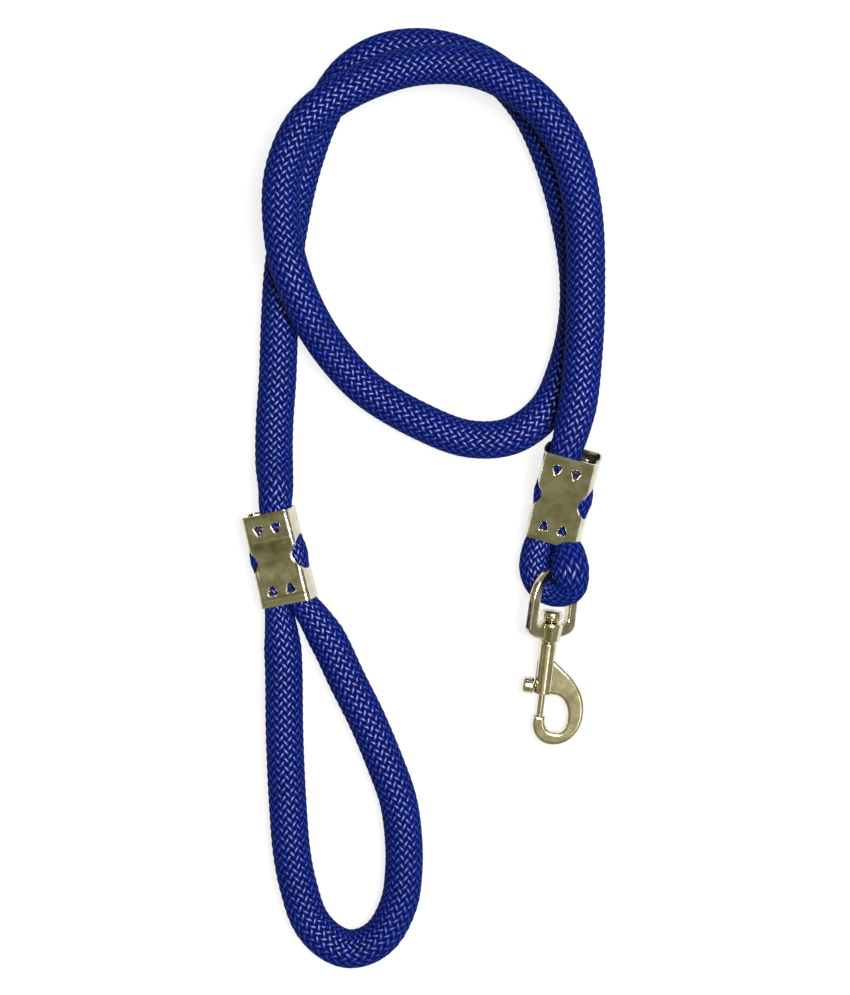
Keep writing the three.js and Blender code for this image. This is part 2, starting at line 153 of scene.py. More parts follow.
# The rope's section at each of those points: plump in the legs, which press on each other, and
# drawn thin round the bend.
EYE_SECTIONS = [
    (0.0073, 0.0067, 2.0, 0.0004), (0.0075, 0.0068, 2.0, 0.0005), (0.0066, 0.0062, 2.0, 0),
    (0.0062, 0.006, 2.0, 0), (0.0074, 0.0066, 2.0, 0.0016), (0.0089, 0.0072, 2.0, 0.003),
    (0.0085, 0.0068, 2.0, 0.0022),
]


def frame_of(origin, lean, pitch, roll):
    """A ferrule's or the snap's own frame: +Y along it, leant in plan, pitched up and rolled."""
    turn = Matrix.Rotation(math.radians(-lean), 4, "Z")
    turn @= Matrix.Rotation(math.radians(pitch), 4, "X")
    turn @= Matrix.Rotation(math.radians(-roll), 4, "Y")
    return Matrix.Translation(origin) @ turn


handle_frame = frame_of((-0.065, -0.027, 0.0122), -12.8, 6, 12)
snap_ferrule_frame = frame_of((0.0646, 0.0011, 0.0178), 11.4, 24, 12)
snap_frame = frame_of((0.0586, -0.066, 0.00945), 6.5, 7.6, 0)
EYE_TURN = 40


# ---- Helpers ----


def add_object(name, mesh):
    made = bpy.data.objects.new(name, mesh)
    bpy.context.scene.collection.objects.link(made)
    return made


def add_mesh(name, points, faces):
    mesh = bpy.data.meshes.new(name)
    mesh.from_pydata(points, [], faces)
    mesh.update()
    return add_object(name, mesh)


def smoothstep(x):
    x = np.clip(x, 0, 1)
    return x * x * (3 - 2 * x)


def bake_modifiers(obj):
    """Replaces an object's mesh by what its modifiers make of it."""
    graph = bpy.context.evaluated_depsgraph_get()
    mesh = bpy.data.meshes.new_from_object(obj.evaluated_get(graph))
    obj.modifiers.clear()
    obj.data = mesh
    return obj


def shade_smooth(obj, sharp_above=None):
    mesh = obj.data
    mesh.polygons.foreach_set("use_smooth", [True] * len(mesh.polygons))
    if sharp_above:
        mesh.set_sharp_from_angle(angle=math.radians(sharp_above))
    return obj


def put_in_place(obj, place, body, slot, look, *nodes):
    """Moves a piece built in a local frame in place, gives it its look and its CAD body."""
    obj.data.transform(place)
    obj.data.materials.clear()
    obj.data.materials.append(look)
    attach(obj, body)
    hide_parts(*nodes)
    return obj


# ---- Camera, light and floor ----


def make_camera():
    data = bpy.data.cameras.new("camera")
    data.sensor_width = 36
    data.lens = data.sensor_width * (CAMERA.z - ROPE_RADIUS) / VIEW_LENGTH
    camera = bpy.data.objects.new("camera", data)
    camera.location = CAMERA
    bpy.context.scene.collection.objects.link(camera)
    bpy.context.scene.camera = camera


def make_world():
    """Dim, warm surroundings with a paler ceiling, which only the metal reflects. Past the floor
    the camera sees a plain pale backdrop."""
    world = bpy.data.worlds.new("studio")
    world.use_nodes = True
    bpy.context.scene.world = world
    tree = world.node_tree
    place = tree.nodes.new("ShaderNodeTexCoord")
    split = tree.nodes.new("ShaderNodeSeparateXYZ")
    ramp = tree.nodes.new("ShaderNodeValToRGB")
    # The colours by height, from straight below at 0 to straight above at 1.
    stops = [
        (0.0, (0.2, 0.18, 0.13, 1)),
        (0.3, (0.3, 0.29, 0.24, 1)),
        (0.52, (0.33, 0.32, 0.2, 1)),
        (0.7, (0.25, 0.24, 0.13, 1)),
        (0.8, (0.13, 0.12, 0.05, 1)),
        (0.845, (0.24, 0.23, 0.12, 1)),
        (0.875, (0.36, 0.34, 0.2, 1)),
        (0.94, (0.5, 0.47, 0.32, 1)),
        (1.0, (0.75, 0.7, 0.5, 1)),
    ]
    for (position, colour), stop in zip(stops[:2], ramp.color_ramp.elements):
        stop.position = position
        stop.color = colour
    for position, colour in stops[2:]:
        ramp.color_ramp.elements.new(position).color = colour
    path = tree.nodes.new("ShaderNodeLightPath")
    backdrop = tree.nodes.new("ShaderNodeMix")
    backdrop.data_type = "RGBA"
    backdrop.inputs["B"].default_value = (0.85, 0.85, 0.85, 1)
    background = tree.nodes["Background"]
    tree.links.new(place.outputs["Generated"], split.inputs[0])
    tree.links.new(split.outputs["Z"], ramp.inputs["Fac"])
    tree.links.new(path.outputs["Is Camera Ray"], backdrop.inputs["Factor"])
    tree.links.new(ramp.outputs["Color"], backdrop.inputs["A"])
    tree.links.new(backdrop.outputs["Result"], background.inputs["Color"])


def area_light(name, place, aim, size, power):
    data = bpy.data.lights.new(name, "AREA")
    data.shape = "DISK"
    data.size = size
    data.energy = power
    light = bpy.data.objects.new(name, data)
    light.location = place
    light.rotation_euler = (Vector(aim) - Vector(place)).to_track_quat("-Z", "Y").to_euler()
    bpy.context.scene.collection.objects.link(light)


def make_lights():
    """A soft key above, and a weak glow from the lower right for the snap's bright lines."""
    area_light("key", (0.26, 0.04, 1.08), aim=(0, 0, 0), size=0.5, power=26.0)
    area_light("glow", (0.45, -0.6, 1.08), aim=(0.06, -0.09, 0), size=0.36, power=0.6)


def make_floor():
    """A white board that glows a little, so that it stays white as far as the backdrop."""
    half = 40.0
    corners = [(x * half, y * half, FLOOR) for x, y in ((-1, -1), (1, -1), (1, 1), (-1, 1))]
    floor = add_mesh("floor", corners, [(0, 1, 2, 3)])
    look, shader = new_look("white_board", (0.12, 0.12, 0.12, 1), 0.9)
    shader.inputs["Emission Color"].default_value = (1, 1, 1, 1)
    shader.inputs["Emission Strength"].default_value = 0.8
    grain = add_node(look, "ShaderNodeTexNoise", Scale=900.0, Detail=3.0)
    bump = add_node(look, "ShaderNodeBump", Strength=0.05, Distance=0.0001)
    link(look, grain, "Fac", bump, "Height")
    link(look, bump, "Normal", shader, "Normal")
    floor.data.materials.append(look)


# ---- Materials ----


def new_look(name, colour, roughness, **settings):
    """A material with a Principled shader, with constants set on the shader's own sockets."""
    look = bpy.data.materials.new(name)
    look.use_nodes = True
    shader = look.node_tree.nodes["Principled BSDF"]
    shader.inputs["Base Color"].default_value = colour
    shader.inputs["Roughness"].default_value = roughness
    for socket, value in settings.items():
        shader.inputs[socket.replace("_", " ")].default_value = value
    return look, shader


def add_node(look, kind, **values):
    """A shader node; a value goes to the input of that name, or else to the node's own setting."""
    node = look.node_tree.nodes.new(kind)
    for name, value in values.items():
        socket = next((s for s in node.inputs if s.name == name.replace("_", " ")), None)
        if socket is None:
            setattr(node, name, value)
        else:
            socket.default_value = value
    return node


def link(look, source, output, target, socket):
    look.node_tree.links.new(source.outputs[output], target.inputs[socket])


def colour_steps(look, *stops):
    """A colour ramp from (position, colour) pairs."""
    ramp = look.node_tree.nodes.new("ShaderNodeValToRGB")
    elements = ramp.color_ramp.elements
    elements[0].position, elements[0].color = stops[0][0], (*stops[0][1], 1)
    elements[1].position, elements[1].color = stops[-1][0], (*stops[-1][1], 1)
    for position, colour in stops[1:-1]:
        elements.new(position).color = (*colour, 1)
    return ramp


def ranged(look, source, output, low, high, start=0.0, end=1.0):
    """Maps an output from low..high onto start..end, and no further."""
    node = add_node(look, "ShaderNodeMapRange", From_Min=low, From_Max=high, To_Min=start, To_Max=end)
    link(look, source, output, node, "Value")
    return node


def product(look, first, second):
    """The product of two nodes' first outputs."""
    node = add_node(look, "ShaderNodeMath", operation="MULTIPLY")
    link(look, first, 0, node, 0)
    link(look, second, 0, node, 1)
    return node


def blended(look, factor, output, colour):
    """A colour mix whose second colour is given; its first is left to be linked."""
    node = add_node(look, "ShaderNodeMix", data_type="RGBA")
    node.inputs["B"].default_value = (*colour, 1)
    link(look, factor, output, node, "Factor")
    return node


def yarn_nodes(look):
    """What the braid's nodes share: how high each point lies, whether it is on its strand's crest,
    its filaments, and a tone that differs from strand to strand and from filament to filament."""
    lift = add_node(look, "ShaderNodeAttribute", attribute_name="lift")
    fibre = add_node(look, "ShaderNodeAttribute", attribute_name="fibre")
    split = add_node(look, "ShaderNodeSeparateXYZ")
    link(look, fibre, "Vector", split, 0)
    off_middle = add_node(look, "ShaderNodeMath", operation="ABSOLUTE")
    link(look, split, "Y", off_middle, 0)
    crest = product(
        look, ranged(look, off_middle, "Value", 0.38, 0.16), ranged(look, lift, "Fac", 0.8, 0.92),
    )
    stretch = add_node(look, "ShaderNodeVectorMath", operation="MULTIPLY")
    stretch.inputs[1].default_value = (0.5, 5.0, 2.7)
    link(look, fibre, "Vector", stretch, 0)
    filaments = add_node(look, "ShaderNodeTexNoise", Scale=1.0, Detail=4.0, Roughness=0.6)
    link(look, stretch, "Vector", filaments, "Vector")
    strand = add_node(look, "ShaderNodeTexWhiteNoise", noise_dimensions="1D")
    link(look, split, "Z", strand, "W")
    tone = product(
        look, ranged(look, strand, "Value", 0.0, 1.0, 0.85, 1.15),
        ranged(look, filaments, "Fac", 0.3, 0.7, 0.75, 1.2),
    )
    return lift, crest, filaments, tone


def braid_look():
    """Blue filament yarn, with painted shade that darkens its colour to near black between the strands
    and a painted highlight of lighter blue along each strand's crest. Each crest is also a narrow line of
    smooth filaments whose coat shines along the whole of its float."""
    look, shader = new_look(
        "blue_braid", (0.004, 0.012, 0.1, 1), 0.75, Specular_IOR_Level=0.1,
        Specular_Tint=(0.45, 0.56, 1.0, 1), Coat_Roughness=0.45, Coat_IOR=1.63,
    )
    lift, crest, filaments, tone = yarn_nodes(look)
    # Painted shade: the colour darkens with each point's lift, from the strands' tops down to near black
    # in the gaps between them.
    body = colour_steps(
        look, (0.0, (0.0002, 0.0004, 0.007)), (0.5, (0.0006, 0.0016, 0.03)),
        (0.8, (0.0012, 0.005, 0.07)), (1.0, (0.0016, 0.007, 0.085)),
    )
    link(look, lift, "Fac", body, "Fac")
    # Painted highlight: each strand's crest line gets a lighter blue in the base colour, whatever the
    # light.
    yarn = blended(look, crest, "Value", (0.004, 0.021, 0.24))
    link(look, body, "Color", yarn, "A")
    shaded = add_node(look, "ShaderNodeVectorMath", operation="SCALE")
    link(look, yarn, "Result", shaded, 0)
    link(look, tone, "Value", shaded, "Scale")
    fused = add_node(look, "ShaderNodeAttribute", attribute_name="fused")
    ends = blended(look, fused, "Fac", (0.035, 0.026, 0.03))
    link(look, shaded, "Vector", ends, "A")
    link(look, ends, "Result", shader, "Base Color")

    slant = add_node(look, "ShaderNodeLayerWeight", Blend=0.5)
    fading = ranged(look, slant, "Facing", 0.02, 0.24, 1.1, 0.08)
    shine = product(look, product(look, crest, fading), tone)
    shine.use_clamp = True
    link(look, shine, "Value", shader, "Coat Weight")
    bump = add_node(look, "ShaderNodeBump", Strength=0.6, Distance=0.00005)
    link(look, filaments, "Fac", bump, "Height")
    link(look, bump, "Normal", shader, "Normal")
    return look


def plated_look(name, colour, worn, roughness, grain_scale):
    """Bright plated metal: faint polishing lines, cloudy gloss and slightly dull patches."""
    look, shader = new_look(name, (*colour, 1), roughness[0], Metallic=1.0)
    place = add_node(look, "ShaderNodeTexCoord")
    clouds = add_node(look, "ShaderNodeTexNoise", Scale=160.0, Detail=4.0, Roughness=0.6)
    link(look, place, "Object", clouds, "Vector")
    colours = colour_steps(look, (0.35, worn), (0.6, colour))
    link(look, clouds, "Fac", colours, "Fac")
    link(look, colours, "Color", shader, "Base Color")

    lines = add_node(look, "ShaderNodeMapping")
    lines.inputs["Scale"].default_value = grain_scale
    link(look, place, "Object", lines, "Vector")
    scratches = add_node(look, "ShaderNodeTexNoise", Scale=1.0, Detail=5.0, Roughness=0.7)
    link(look, lines, "Vector", scratches, "Vector")
    link(look, ranged(look, clouds, "Fac", 0.3, 0.75, *roughness), "Result", shader, "Roughness")
    bump = add_node(look, "ShaderNodeBump", Strength=0.25, Distance=0.00002)
    link(look, scratches, "Fac", bump, "Height")
    link(look, bump, "Normal", shader, "Normal")
    return look


# ---- Rope ----


def catmull_rom(points, step):
    """A centripetal Catmull-Rom curve through the points, with its own points about step apart."""
    p = np.vstack([2 * points[0] - points[1], points, 2 * points[-1] - points[-2]])
    out = []
    for a, b, c, d in zip(p[:-3], p[1:-2], p[2:-1], p[3:]):
        t0, t1, t2 = (np.linalg.norm(v) ** 0.5 for v in (b - a, c - b, d - c))
        start = ((b - a) / t0 - (c - a) / (t0 + t1) + (c - b) / t1) * t1
        end = ((c - b) / t1 - (d - b) / (t1 + t2) + (d - c) / t2) * t1
        t = np.linspace(0, 1, max(3, math.ceil(np.linalg.norm(c - b) / step)), endpoint=False)[:, None]
        bent = (2 * b - 2 * c + start + end) * t**3 + (3 * c - 3 * b - 2 * start - end) * t**2
        out.append(bent + start * t + b)
    return np.vstack([*out, points[-1:]])


def evenly_spaced(line, step):
    along = np.concatenate([[0], np.cumsum(np.linalg.norm(np.diff(line, axis=0), axis=1))])
    at = np.linspace(0, along[-1], round(along[-1] / step) + 1)
    return at, np.stack([np.interp(at, along, line[:, k]) for k in range(3)], axis=1)


def softened(values, width):
    """The rows of values averaged with their neighbours, over a window with faded ends."""
    window = np.hanning(2 * width + 1)
    padded = np.vstack([values[:1]] * width + [values] + [values[-1:]] * width)
    sums = [np.convolve(column, window, "valid") for column in padded.T]
    return np.stack(sums, axis=1) / window.sum()


def rope_route():
    """The whole rope's points, and its stations: the points where its section and top are set."""
    route, stations = [], []

    def free(points):
        route.extend(np.array(point) for point in points)

    def held(place, x, y, section):
        route.append(np.array(place @ Vector((x, y, 0))))
        stations.append((route[-1], section, place.col[2].xyz))

    def strand(place, side, upward=False):
        """A pass through a ferrule beside its other strand, downward unless upward is set."""
        passing = [
            (PRESSED_AT, PRESSED_ALONG, PRESSED), (BULGED_AT, 0, BULGED),
            (PRESSED_AT, -PRESSED_ALONG, PRESSED), (PRESSED_AT, -MOUTH, SQUEEZED),
        ]
        for x, y, section in passing[::-1] if upward else passing:
            held(place, side * x, y, section)

    held(handle_frame, -PRESSED_AT, MOUTH - TAIL_RECESS, PRESSED)
    strand(handle_frame, -1)
    free(reversed(HAND_LOOP))
    strand(handle_frame, 1, upward=True)
    held(handle_frame, LONE_AT, MOUTH, LONE)
    free(COIL)
    held(snap_ferrule_frame, -LONE_AT, MOUTH, LONE)
    strand(snap_ferrule_frame, -1)
    for point, section in zip(EYE_LOOP, EYE_SECTIONS):
        route.append(np.array(point))
        stations.append((route[-1], section, WORLD_UP))
    strand(snap_ferrule_frame, 1, upward=True)
    held(snap_ferrule_frame, PRESSED_AT, MOUTH - TAIL_RECESS, PRESSED)
    return np.array(route), stations


class RopeLine:
    """The rope's centreline, with its section and its side and top directions all along."""

    def __init__(self, step=0.0005):
        route, stations = rope_route()
        curve = catmull_rom(route, step)
        self.at, line = evenly_spaced(softened(evenly_spaced(curve, step)[1], 5), step)
        self.length = self.at[-1]
        self.points = line
        self.tangents = np.gradient(line, axis=0)
        self.tangents /= np.linalg.norm(self.tangents, axis=1, keepdims=True)
        self.sections, up = self.along_stations(stations)
        self.sides = np.cross(up, self.tangents)
        self.sides /= np.linalg.norm(self.sides, axis=1, keepdims=True)
        self.tops = np.cross(self.tangents, self.sides)

    def along_stations(self, stations):
        """Sections and up directions all along, free on the long stretches between stations."""
        at = [self.at[np.linalg.norm(self.points - point, axis=1).argmin()] for point, _, _ in stations]
        rows = [(s, *section, *up) for s, (_, section, up) in zip(at, stations)]
        for before, after in zip(at, at[1:]):
            if after - before > 4 * GROWTH:
                rows += [(before + GROWTH, *FREE, *WORLD_UP), (after - GROWTH, *FREE, *WORLD_UP)]
        rows = np.array(sorted(rows))
        spread = np.stack([np.interp(self.at, rows[:, 0], rows[:, k]) for k in range(1, 8)], axis=1)
        spread = softened(spread, 6)
        return spread[:, :4], spread[:, 4:]

    def sample(self, values, at):
        return np.stack([np.interp(at, self.at, values[:, k]) for k in range(values.shape[1])], axis=-1)


def braid_heights(t, v, even):
    """Heights of the strand that floats in this column and of the one that dives under it, with
    the phase of each: its place across its strands, in spacings. t runs across the column and v
    along its stitches, in pitches."""
    rise = STRAND_LIFT * np.sin(math.pi * np.clip(t, 0, 1)) ** 0.3
    phases = (np.where(even, v, v - 0.5), np.where(even, v + t - 0.5, v - t))
    heights = []
    for phase, sign in zip(phases, (1, -1)):
        across = np.abs(2 * (phase - np.round(phase))) / STRAND_FILL
        crown = np.sqrt(np.maximum(0, 1 - across**2)) - 2 * np.maximum(0, across - 1)
        heights.append(sign * rise + STRAND_CROWN * crown)
    return heights, phases


def climb(t, even):
    """How far a floating strand is ahead of its stitch's middle, in pitches."""
    return np.where(even, t - 0.5, 0.5 - t) / 2


def rope_surface(line):
    """Vertices of the braided surface, in rings whose zigzag follows the strands, and their lift."""
    around = COLUMNS * COLUMN_CELLS
    rings = round(line.length / STITCH_PITCH * PITCH_CELLS)
    v = np.arange(rings + 1)[:, None] / PITCH_CELLS
    column = np.repeat(np.arange(COLUMNS), COLUMN_CELLS)[None, :]
    even = column % 2 == 0
    t = np.tile(COLUMN_STEPS, COLUMNS)[None, :]
    (own, other), _ = braid_heights(t, v, even)
    height = np.maximum(own, other)
    lift = np.maximum(0, height / (STRAND_LIFT + STRAND_CROWN))

    base = v / v[-1] * line.length
    to_end = np.minimum(base, line.length - base)
    at = base + climb(t, even) * STITCH_PITCH * smoothstep(to_end / END_LEVELLED)
    half_width, half_height, square, push = np.moveaxis(line.sample(line.sections, at), -1, 0)
    turn = 2 * math.pi * (column + t) / COLUMNS
    c = np.cos(turn) * np.ones_like(at)
    s = np.sin(turn) * np.ones_like(at)
    x = half_width * np.sign(c) * np.abs(c) ** (2 / square)
    z = half_height * np.sign(s) * np.abs(s) ** (2 / square)
    tightness = np.minimum(half_width, half_height) / ROPE_RADIUS
    inward = (height - STRAND_LIFT - STRAND_CROWN) * tightness
    across = line.sample(line.sides, at)
    upward = line.sample(line.tops, at)
    points = line.sample(line.points, at)
    points = points + across * (x + push + inward * c)[..., None] + upward * (z + inward * s)[..., None]
    return points, lift


def fibre_corners(rings, around):
    """For each corner of each surface face: its place along its strand in millimetres, its place
    across it from -1 to 1, and which strand it is. The yarn's filaments follow these."""
    ring = np.arange(rings)[:, None, None]
    cell = np.arange(around)[None, :, None]
    column = cell // COLUMN_CELLS
    even = column % 2 == 0
    steps = np.append(COLUMN_STEPS, 1)
    step = cell % COLUMN_CELLS
    t = steps[step + np.array([0, 1, 1, 0])]
    v = (ring + np.array([0, 0, 1, 1])) / PITCH_CELLS
    middle_t = (steps[step] + steps[step + 1]) / 2
    (own, other), (own_middle, other_middle) = braid_heights(middle_t, (ring + 0.5) / PITCH_CELLS, even)
    _, (own_corners, other_corners) = braid_heights(t, v, even)
    floats = own >= other
    number = np.round(np.where(floats, own_middle, other_middle))
    across = 2 * (np.where(floats, own_corners, other_corners) - number)
    column_width = 2 * math.pi * ROPE_RADIUS / COLUMNS
    strand_per_pitch = 2 * math.hypot(column_width, STITCH_PITCH / 2) / MM
    along = (v + climb(t, even)) * strand_per_pitch + 0 * across
    rising = even == floats
    half_turns = (column + 1) // 2
    strand = np.where(rising, number - column // 2, number + half_turns) % (COLUMNS // 2)
    strand = strand + np.where(rising, 0, COLUMNS // 2) + 0 * across
    return np.stack([along, across, strand], axis=-1).reshape(-1, 3)


def close_end(points, faces, last, ring, centre, outward):
    """Closes a cut end with a low dome, from its last ring, whose first vertex is given."""
    around = len(ring)
    count = sum(len(part) for part in points)
    at_start = last == 0
    for share, depth in END_DOME:
        points.append(centre + (ring - centre) * share + outward * depth)
        for i in range(around):
            j = (i + 1) % around
            quad = (last + i, last + j, count + j, count + i)
            faces.append(quad[::-1] if at_start else quad)
        last = count
        count += around
    points.append((centre + outward * END_DOME[-1][1])[None, :])
    for i in range(around):
        j = (i + 1) % around
        faces.append((count, last + j, last + i) if at_start else (last + i, last + j, count))


def mark_yarn(mesh, lift):
    """What the braid's look reads: each point's lift, where the cut ends are fused, and each
    corner's place along and across its strand."""
    rings, around = lift.shape[0] - 1, lift.shape[1]
    raised = np.zeros(len(mesh.vertices), np.float32)
    raised[: lift.size] = np.clip(lift, 0, 1).ravel()
    mesh.attributes.new("lift", "FLOAT", "POINT").data.foreach_set("value", raised)
    to_end = np.minimum(np.arange(rings + 1), rings - np.arange(rings + 1))
    fused = np.ones(len(mesh.vertices), np.float32)
    fused[: lift.size] = np.repeat(1 - smoothstep(to_end / FUSED_RINGS), around)
    mesh.attributes.new("fused", "FLOAT", "POINT").data.foreach_set("value", fused)
    fibre = np.zeros((len(mesh.loops), 3), np.float32)
    fibre[: rings * around * 4] = fibre_corners(rings, around)
    mesh.attributes.new("fibre", "FLOAT_VECTOR", "CORNER").data.foreach_set("vector", fibre.ravel())


def make_rope(line, look):
    """The whole braid in one mesh. It stands for all seven of the rope's CAD solids."""
    surface, lift = rope_surface(line)
    rings, around = surface.shape[0] - 1, surface.shape[1]
    points = [surface.reshape(-1, 3)]
    faces = []
    for low in range(0, rings * around, around):
        high = low + around
        for i in range(around):
            j = (i + 1) % around
            faces.append((low + i, low + j, high + j, high + i))
    close_end(points, faces, 0, surface[0], line.points[0], -line.tangents[0])
    close_end(points, faces, rings * around, surface[-1], line.points[-1], line.tangents[-1])
    rope = add_mesh("braided_rope", np.vstack(points).tolist(), faces)
    mark_yarn(rope.data, lift)
    shade_smooth(rope)
    nodes = [
        "rope_hand_loop", "rope_coil", "rope_eye_loop", "handle_crimp_main_strand",
        "handle_crimp_tail_strand", "snap_crimp_main_strand", "snap_crimp_tail_strand",
    ]
    return put_in_place(rope, Matrix.Identity(4), "rope", "rope", look, *nodes)


# ---- Ferrules ----


def bezier(start, first, second, end, count=16):
    """Points of a cubic curve after its start."""
    t = np.linspace(0, 1, count + 1)[1:, None]
    a, b, c, d = (np.array(p, float) for p in (start, first, second, end))
    return (1 - t) ** 3 * a + 3 * (1 - t) ** 2 * t * b + 3 * (1 - t) * t**2 * c + t**3 * d


class FerruleOutline:
    """The ferrule's outer outline in x and z, from its back seam round to the seam again."""

    def __init__(self):
        flat, width, height = FERRULE_FLAT / 2, FERRULE_WIDTH / 2, FERRULE_THICKNESS / 2
        shoulder = flat + 0.0019
        right = np.vstack([
            [(FERRULE_SEAM / 2, -height), (flat, -height)],
            bezier((flat, -height), (shoulder, -height), (width, -height * 0.7), (width, 0)),
            bezier((width, 0), (width, height * 0.7), (shoulder, height), (flat, height)),
        ])
        points = np.vstack([right, right[::-1] * (-1, 1)])
        self.at, self.points = evenly_spaced(np.insert(points, 2, 0, axis=1), 0.00005)
        self.length = self.at[-1]

    def place(self, s):
        return np.interp(s, self.at, self.points[:, 0]), np.interp(s, self.at, self.points[:, 1])


# Each tooth is a small three-cornered hole whose sheet is bent in round it, and each side window
# is where an ellipsoid beside the ferrule cuts it.
TOOTH_WIDTH = 0.0029
TOOTH_LENGTH = 0.0033
TOOTH_ROUNDING = 0.0004
TOOTH_SIDE = 0.0044
TOOTH_FROM_MOUTH = 0.0070
TOOTH_FUNNEL = 0.001
TOOTH_DEPTH = 0.0016
WINDOW_RIM = 0.0007
WINDOW_DEPTH = 0.0003
WINDOW_MIDDLE = 0.016
WINDOW_REACH = (0.0107, 0.0079, 0.011)


def triangle_distance(x, y, corners):
    """Signed distance to a triangle with its corners listed counter-clockwise, negative inside."""
    far = np.full(np.shape(x), np.inf)
    inside = np.ones(np.shape(x), bool)
    for (ax, ay), (bx, by) in zip(corners, corners[1:] + corners[:1]):
        ex, ey = bx - ax, by - ay
        px, py = x - ax, y - ay
        t = np.clip((px * ex + py * ey) / (ex * ex + ey * ey), 0, 1)
        far = np.minimum(far, np.hypot(px - t * ex, py - t * ey))
        inside &= ex * py - ey * px >= 0
    return np.where(inside, -far, far)


def tooth_distance(x, y):
    """Signed distance to the nearest punched tooth hole, seen square to the face."""
    half = TOOTH_WIDTH / 2 - TOOTH_ROUNDING
    back = 0.42 * TOOTH_LENGTH - TOOTH_ROUNDING
    tip = 0.58 * TOOTH_LENGTH - TOOTH_ROUNDING
    nearest = np.full(np.shape(x), np.inf)
    for side in (-1, 1):
        for end in (-1, 1):
            mid_x, mid_y = side * TOOTH_SIDE, end * (MOUTH - TOOTH_FROM_MOUTH)
            corners = [
                (mid_x + end * half, mid_y + end * back), (mid_x - end * half, mid_y + end * back),
                (mid_x, mid_y - end * tip),
            ]
            nearest = np.minimum(nearest, triangle_distance(x, y, corners))
    return nearest - TOOTH_ROUNDING


def window_distance(x, y, z):
    """About the signed distance to the side windows, negative inside them."""
    a, b, c = WINDOW_REACH
    dx = np.abs(x) - WINDOW_MIDDLE
    value = (dx / a) ** 2 + (y / b) ** 2 + (z / c) ** 2 - 1
    slope = 2 * np.sqrt((dx / a**2) ** 2 + (y / b**2) ** 2 + (z / c**2) ** 2)
    return value / np.maximum(slope, 1e-6)


def hole_distances(outline, s, y):
    x, z = outline.place(s)
    on_face = np.abs(z) > FERRULE_THICKNESS / 2 - 0.0002
    tooth = np.where(on_face, tooth_distance(x, y), 1.0)
    return tooth, window_distance(x, y, z)


def snapped(outline, s, y, rows):
    """The grid's s and y, with the given points moved onto the nearest hole's edge."""
    small = 0.00003
    for _ in range(6):
        here = np.minimum(*hole_distances(outline, s[rows], y[rows]))
        slope_s = (np.minimum(*hole_distances(outline, s[rows] + small, y[rows])) - here) / small
        slope_y = (np.minimum(*hole_distances(outline, s[rows], y[rows] + small)) - here) / small
        steep = np.maximum(slope_s**2 + slope_y**2, 0.2)
        s[rows] -= here * slope_s / steep
        y[rows] -= here * slope_y / steep
    return s, y


def pressed_depth(x, y, dents):
    """How far the front and back are pressed in, from the dents (place along, width, depth)."""
    across = 1 - smoothstep((np.abs(x) - 0.009) / 0.003)
    return across * sum(depth * np.exp(-(((y - at) / width) ** 2)) for at, width, depth in dents)


def ferrule_grid(outline, cell):
    """Places round and along the sheet, with the cells clear of its holes and the holes' edges
    moved onto their true outlines."""
    columns = round(outline.length / cell)
    rows = round(FERRULE_LENGTH / cell)
    s, y = np.meshgrid(np.linspace(0, outline.length, columns + 1), np.linspace(-MOUTH, MOUTH, rows + 1))
    solid = np.minimum(*hole_distances(outline, s, y)) > 0
    keep = solid[:-1, :-1] & solid[1:, :-1] & solid[:-1, 1:] & solid[1:, 1:]
    uses = np.zeros(s.shape, int)
    for rows_part in (slice(0, -1), slice(1, None)):
        for columns_part in (slice(0, -1), slice(1, None)):
            uses[rows_part, columns_part] += keep
    inner = np.zeros(s.shape, bool)
    inner[1:-1, 1:-1] = True
    s, y = snapped(outline, s, y, (uses > 0) & (uses < 4) & inner)
    return s, y, keep


def ferrule_points(outline, s, y, narrowing, dents):
    """The outer surface: the outline, pressed in at the teeth, the windows, the seam and the
    dents, flared at the mouths and narrowed towards the upper one."""
    x, z = outline.place(s)
    ahead_x, ahead_z = outline.place(s + 0.0001)
    behind_x, behind_z = outline.place(s - 0.0001)
    run = np.hypot(ahead_x - behind_x, ahead_z - behind_z)
    normal_x, normal_z = (ahead_z - behind_z) / run, -(ahead_x - behind_x) / run
    tooth, window = hole_distances(outline, s, y)
    bent_in = TOOTH_DEPTH * (1 - smoothstep(tooth / TOOTH_FUNNEL))
    bent_in += WINDOW_DEPTH * (1 - smoothstep(window / WINDOW_RIM))
    flared = -0.0002 * smoothstep((np.abs(y) - MOUTH + 0.0015) / 0.0015)
    seam_in = 0.0003 * (1 - smoothstep(np.minimum(s, outline.length - s) / 0.0012))
    inward = bent_in + flared + seam_in + pressed_depth(x, y, dents) * (np.abs(normal_z) > 0.7)
    squeeze = 1 - narrowing * (y + MOUTH) / FERRULE_LENGTH
    return np.stack([(x - normal_x * inward) * squeeze, y, z - normal_z * inward], axis=-1)


def make_ferrule(name, node, place, narrowing, dents, look, cell=0.00032):
    """A folded sheet with a seam at the back, punched teeth and a window round each side. It is
    narrower at its upper mouth by the given share."""
    outline = FerruleOutline()
    s, y, keep = ferrule_grid(outline, cell)
    points = ferrule_points(outline, s, y, narrowing, dents).reshape(-1, 3)
    index = np.arange(s.size).reshape(s.shape)
    corners = [index[:-1, :-1], index[1:, :-1], index[1:, 1:], index[:-1, 1:]]
    used, faces = np.unique(np.stack(corners, axis=-1)[keep], return_inverse=True)
    ferrule = add_mesh(name, points[used].tolist(), faces.reshape(-1, 4).tolist())
    sheet = ferrule.modifiers.new("sheet", "SOLIDIFY")
    sheet.thickness = FERRULE_SHEET
    sheet.offset = -1
    edges = ferrule.modifiers.new("edges", "BEVEL")
    edges.limit_method = "ANGLE"
    edges.angle_limit = math.radians(50)
    edges.width = 0.00012
    edges.segments = 2
    bake_modifiers(ferrule)
    shade_smooth(ferrule)
    return put_in_place(ferrule, place, "rope", "ferrule_sheet", look, node)


# ---- Bolt snap, in millimetres in its own frame and scaled on its way into place ----

